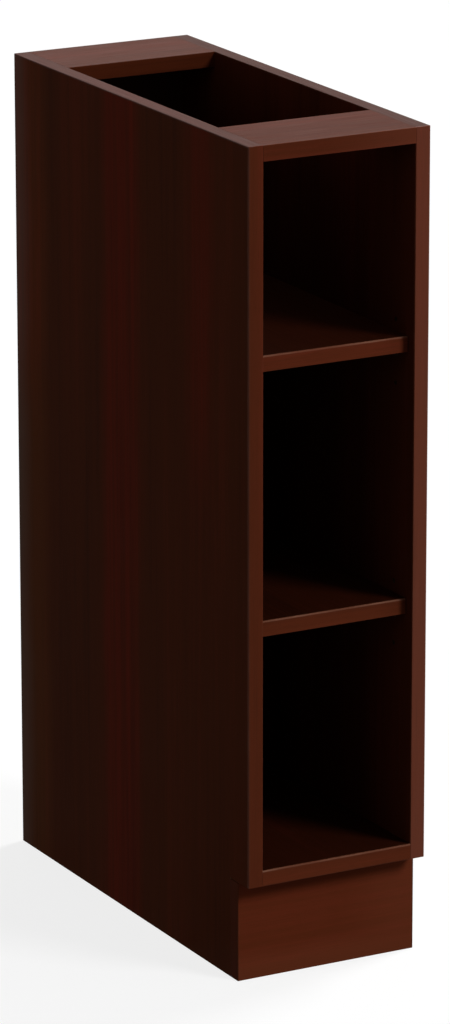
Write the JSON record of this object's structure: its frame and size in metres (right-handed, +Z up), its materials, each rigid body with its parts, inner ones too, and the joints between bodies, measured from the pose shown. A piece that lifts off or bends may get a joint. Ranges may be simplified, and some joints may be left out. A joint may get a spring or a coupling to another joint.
{
  "type": "kitchen base cabinet",
  "caption": "Narrow open kitchen base cabinet in dark wood decor, with two loose shelves, a plinth in a toe notch and open top rails.",
  "frame": {"origin": "on the floor, at the middle of the unit's width and depth", "axes": "+X to the right as seen from the front, +Y to the rear, so the open front faces -Y, +Z up"},
  "size_m": [0.2, 0.5, 0.85],
  "materials": {
    "decor_board": "chipboard faced with satin dark mahogany decor",
    "thick_band": "edge band, 2 mm, wood print, semi-gloss",
    "thin_band": "edge band, 1 mm, wood print, semi-gloss",
    "hardboard": "thin hardboard, decor side to the inside",
    "cast_zinc": "as cast",
    "plated_steel": "zinc plated",
    "brown_plastic": "moulded, dark brown to match the decor",
    "beech": "raw beech"
  },
  "bodies": {
    "carcass": {"left_side_board": "decor_board", "right_side_board": "decor_board", "bottom_board": "decor_board", "front_top_rail": "decor_board", "rear_top_rail": "decor_board", "plinth_board": "decor_board", "back_panel": "hardboard", "left_side_front_band": "thick_band", "right_side_front_band": "thick_band", "front_rail_band": "thick_band", "rear_rail_band": "thick_band", "bottom_board_band": "thick_band", "left_side_top_band": "thin_band", "right_side_top_band": "thin_band", "left_plinth_end_band": "thin_band", "right_plinth_end_band": "thin_band", "front_rail_cam_locks": "cast_zinc", "rear_rail_cam_locks": "cast_zinc", "bottom_board_cam_locks": "cast_zinc", "front_rail_cam_bolts": "plated_steel", "rear_rail_cam_bolts": "plated_steel", "bottom_board_cam_bolts": "plated_steel", "front_rail_dowels": "beech", "rear_rail_dowels": "beech", "bottom_board_dowels": "beech", "upper_shelf_supports": "brown_plastic", "lower_shelf_supports": "brown_plastic", "left_plinth_bracket": "plated_steel", "right_plinth_bracket": "plated_steel", "left_bracket_screws": "plated_steel", "right_bracket_screws": "plated_steel", "back_panel_nails": "plated_steel"},
    "upper_shelf": {"upper_shelf": "decor_board", "upper_shelf_band": "thick_band"},
    "lower_shelf": {"lower_shelf": "decor_board", "lower_shelf_band": "thick_band"}
  },
  "joints": [
    {"name": "upper_shelf_slide", "type": "slide", "parent": "carcass", "child": "upper_shelf", "axis": [0, -1, 0], "range_m": [0, 0.48]},
    {"name": "lower_shelf_slide", "type": "slide", "parent": "carcass", "child": "lower_shelf", "axis": [0, -1, 0], "range_m": [0, 0.48]}
  ]
}
